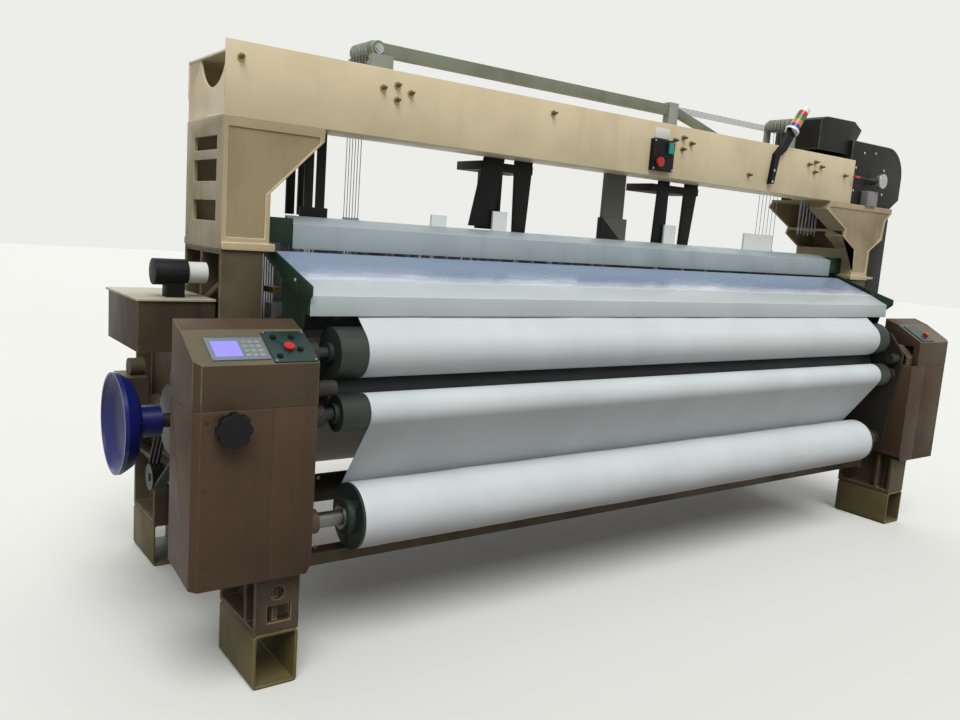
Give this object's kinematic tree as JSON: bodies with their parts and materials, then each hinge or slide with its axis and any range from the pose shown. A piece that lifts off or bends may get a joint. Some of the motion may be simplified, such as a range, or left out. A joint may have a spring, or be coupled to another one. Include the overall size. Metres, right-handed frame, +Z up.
{
  "type": "power loom",
  "caption": "Wide shuttleless loom with a dobby: cast side frames on riser blocks, a top beam, lifting heald frames, a swinging reed, take-up rollers, cloth roll and warp beam.",
  "frame": {"origin": "on the floor, in the middle of the outline in plan", "axes": "+X to the weaver's right along the beam, +Y from the weaver to the warp beam, +Z up"},
  "size_m": [4.545, 1.8219, 2.289],
  "materials": {
    "riser_paint": "satin",
    "frame_paint": "painted, greasy",
    "cream_paint": "satin",
    "bolt_brass": "dull",
    "bracket_paint": "satin",
    "bright_steel": "brushed",
    "cover_grey": "satin",
    "splash_plastic": "translucent",
    "cover_steel": "satin",
    "cabinet_paint": "satin",
    "cap_paint": "satin",
    "black_plastic": "matte",
    "red_plastic": "gloss",
    "teal_plastic": "gloss",
    "dark_steel": "oily",
    "roller_rubber": "matte",
    "cloth": "plain woven",
    "yarn": "filament",
    "sley_aluminium": "machined",
    "heald_aluminium": "satin",
    "beam_aluminium": "satin",
    "navy_paint": "gloss",
    "motor_paint": "satin",
    "belt_rubber": "matte",
    "cable_steel": "dull",
    "harness_paint": "satin",
    "pulley_steel": "matte",
    "dobby_paint": "satin",
    "tower_plastic": "gloss"
  },
  "bodies": {
    "frame": {"riser_blocks": "riser_paint", "side_frame_left": "frame_paint", "side_frame_right": "frame_paint", "upright_left": "cream_paint", "upright_right": "cream_paint", "top_beam": "cream_paint", "beam_bolts": "bolt_brass", "cross_rails": "frame_paint", "cover_brackets": "bracket_paint", "breast_bar": "bright_steel", "front_cover": "cover_grey", "reed_cover": "cover_steel", "cabinet_left": "cabinet_paint", "cap_left": "cap_paint", "control_panel": "black_plastic", "cabinet_right": "cabinet_paint", "cap_right": "cap_paint", "roller_brackets": "dark_steel", "cloth_web": "cloth", "motor": "motor_paint", "drive_belt": "belt_rubber", "heald_cables": "cable_steel", "heald_guides": "black_plastic", "harness_bar": "harness_paint", "harness_pulleys": "pulley_steel", "dobby_body": "dobby_paint", "dobby_drive_case": "dobby_paint", "back_rest_brackets": "frame_paint", "warp_sheet": "yarn", "let_off_box": "frame_paint", "signal_tower": "tower_plastic", "switch_box": "black_plastic", "side_box": "cabinet_paint", "water_pump": "bolt_brass", "weft_feeder": "black_plastic"},
    "crank": {"crankshaft": "dark_steel", "handwheel": "navy_paint"},
    "motor_wheel": {"motor_pulley": "dark_steel"},
    "take_up": {"surface_roller": "roller_rubber"},
    "press_upper": {"press_roller_upper": "roller_rubber"},
    "press_lower": {"press_roller_lower": "roller_rubber"},
    "wound_cloth": {"cloth_roll": "cloth", "cloth_shaft": "dark_steel"},
    "knob": {"clamp_knob": "black_plastic"},
    "batten": {"sley": "sley_aluminium", "reed": "bright_steel"},
    "splash": {"splash_guard": "splash_plastic"},
    "lever": {"dobby_lever": "bright_steel"},
    "warp": {"warp_beam": "beam_aluminium", "warp_yarn": "yarn"},
    "rest": {"back_rest": "bright_steel"},
    "stop_button": {"red_button": "red_plastic"},
    "run_button": {"green_button": "teal_plastic"},
    "cap_button": {"panel_button": "red_plastic"},
    "shaft_1": {"heald_frame_1": "heald_aluminium"},
    "shaft_2": {"heald_frame_2": "heald_aluminium"},
    "shaft_3": {"heald_frame_3": "heald_aluminium"},
    "shaft_4": {"heald_frame_4": "heald_aluminium"},
    "shaft_5": {"heald_frame_5": "heald_aluminium"},
    "shaft_6": {"heald_frame_6": "heald_aluminium"}
  },
  "joints": [
    {"name": "crank_turn", "type": "hinge", "parent": "frame", "child": "crank", "pos_m": [0, -0.263, 0.776], "axis": [1, 0, 0], "continuous": true},
    {"name": "motor_turn", "type": "hinge", "parent": "frame", "child": "motor_wheel", "pos_m": [0, -0.019, 0.5], "axis": [1, 0, 0], "continuous": true},
    {"name": "take_up_turn", "type": "hinge", "parent": "frame", "child": "take_up", "pos_m": [0, -0.58524, 0.91183], "axis": [1, 0, 0], "continuous": true},
    {"name": "press_upper_turn", "type": "hinge", "parent": "frame", "child": "press_upper", "pos_m": [0, -0.685, 1.07], "axis": [1, 0, 0], "continuous": true},
    {"name": "press_lower_turn", "type": "hinge", "parent": "frame", "child": "press_lower", "pos_m": [0, -0.743, 0.875], "axis": [1, 0, 0], "continuous": true},
    {"name": "wind_turn", "type": "hinge", "parent": "frame", "child": "wound_cloth", "pos_m": [0, -0.695, 0.493], "axis": [1, 0, 0], "continuous": true},
    {"name": "knob_turn", "type": "hinge", "parent": "frame", "child": "knob", "pos_m": [-2.0845, -0.879, 0.884], "axis": [0, 1, 0], "continuous": true},
    {"name": "beat_up", "type": "hinge", "parent": "frame", "child": "batten", "pos_m": [0, -0.341, 0.93], "axis": [1, 0, 0], "range_deg": [0, 14]},
    {"name": "splash_lift", "type": "hinge", "parent": "frame", "child": "splash", "pos_m": [0, -0.58, 1.302], "axis": [1, 0, 0], "range_deg": [0, 100]},
    {"name": "shaft_lift_1", "type": "slide", "parent": "frame", "child": "shaft_1", "axis": [0, 0, 1], "range_m": [0, 0.06]},
    {"name": "shaft_lift_2", "type": "slide", "parent": "frame", "child": "shaft_2", "axis": [0, 0, 1], "range_m": [0, 0.06]},
    {"name": "shaft_lift_3", "type": "slide", "parent": "frame", "child": "shaft_3", "axis": [0, 0, 1], "range_m": [0, 0.06]},
    {"name": "shaft_lift_4", "type": "slide", "parent": "frame", "child": "shaft_4", "axis": [0, 0, 1], "range_m": [0, 0.06]},
    {"name": "shaft_lift_5", "type": "slide", "parent": "frame", "child": "shaft_5", "axis": [0, 0, 1], "range_m": [0, 0.06]},
    {"name": "shaft_lift_6", "type": "slide", "parent": "frame", "child": "shaft_6", "axis": [0, 0, 1], "range_m": [0, 0.06]},
    {"name": "lever_turn", "type": "hinge", "parent": "frame", "child": "lever", "pos_m": [1.9485, -0.451, 1.968], "axis": [0, 1, 0], "range_deg": [-15, 60]},
    {"name": "warp_turn", "type": "hinge", "parent": "frame", "child": "warp", "pos_m": [0, 0.511, 0.64], "axis": [1, 0, 0], "continuous": true},
    {"name": "rest_turn", "type": "hinge", "parent": "frame", "child": "rest", "pos_m": [0, 0.566, 1.215], "axis": [1, 0, 0], "continuous": true},
    {"name": "stop_press", "type": "slide", "parent": "frame", "child": "stop_button", "axis": [0, 1, 0], "range_m": [0, 0.004], "stiffness_N_per_m": 400, "springref_m": -0.004},
    {"name": "run_press", "type": "slide", "parent": "frame", "child": "run_button", "axis": [0, 1, 0], "range_m": [0, 0.004], "stiffness_N_per_m": 400, "springref_m": -0.004},
    {"name": "cap_press", "type": "slide", "parent": "frame", "child": "cap_button", "axis": [0, 0.5024, -0.8646], "range_m": [0, 0.003], "stiffness_N_per_m": 400, "springref_m": -0.004}
  ],
  "couplings": [
    {"joint": "motor_turn", "follows": "crank_turn", "ratio": 2.59},
    {"joint": "press_upper_turn", "follows": "take_up_turn", "ratio": -1.1264},
    {"joint": "press_lower_turn", "follows": "take_up_turn", "ratio": -1.5806},
    {"joint": "wind_turn", "follows": "take_up_turn", "ratio": 0.8235},
    {"joint": "rest_turn", "follows": "warp_turn", "ratio": 5}
  ]
}
